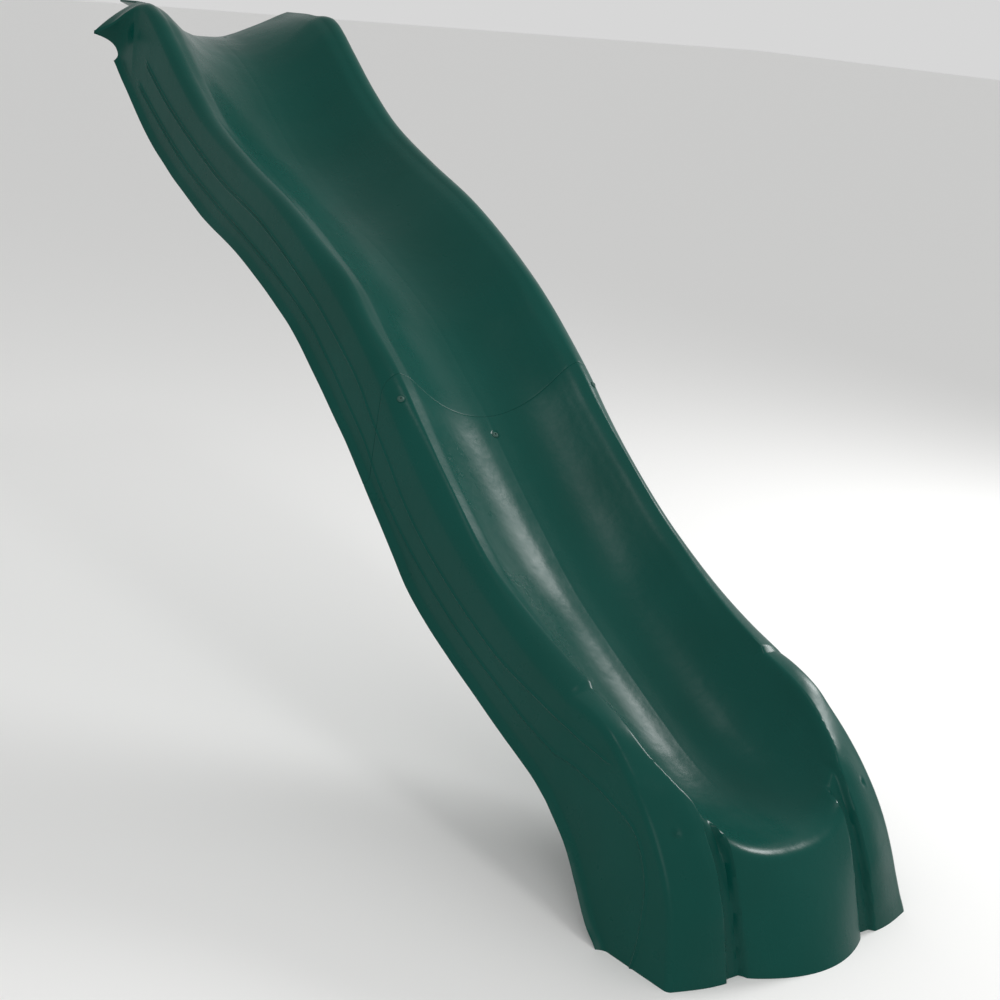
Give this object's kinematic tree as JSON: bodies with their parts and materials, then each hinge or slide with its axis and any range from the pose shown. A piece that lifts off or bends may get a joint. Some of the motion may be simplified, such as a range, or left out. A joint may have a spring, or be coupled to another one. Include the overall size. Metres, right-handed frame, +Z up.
{
  "type": "wave slide",
  "caption": "Moulded playground wave slide in two bolted halves, with U-shaped bed, rolled rims, ridged side skirts, deck lip with ears and a flared foot.",
  "frame": {"origin": "on the ground, in the middle of the slide's overall length and width", "axes": "+X across the slide, -Y down the slide towards the exit, +Y towards the deck, +Z up"},
  "size_m": [0.6256, 2.161, 1.2919],
  "materials": {
    "chute_plastic": "glossy dark green moulded HDPE",
    "bolt_steel": "dark coated carriage bolt",
    "plated_steel": "zinc plated"
  },
  "bodies": {
    "root": {"upper_chute": "chute_plastic", "lower_chute": "chute_plastic", "bed_lap_bolt": "bolt_steel", "bed_lap_washer": "plated_steel", "bed_lap_nut": "plated_steel", "rim_lap_bolts": "bolt_steel", "rim_lap_washers": "plated_steel", "rim_lap_nuts": "plated_steel"}
  },
  "joints": []
}
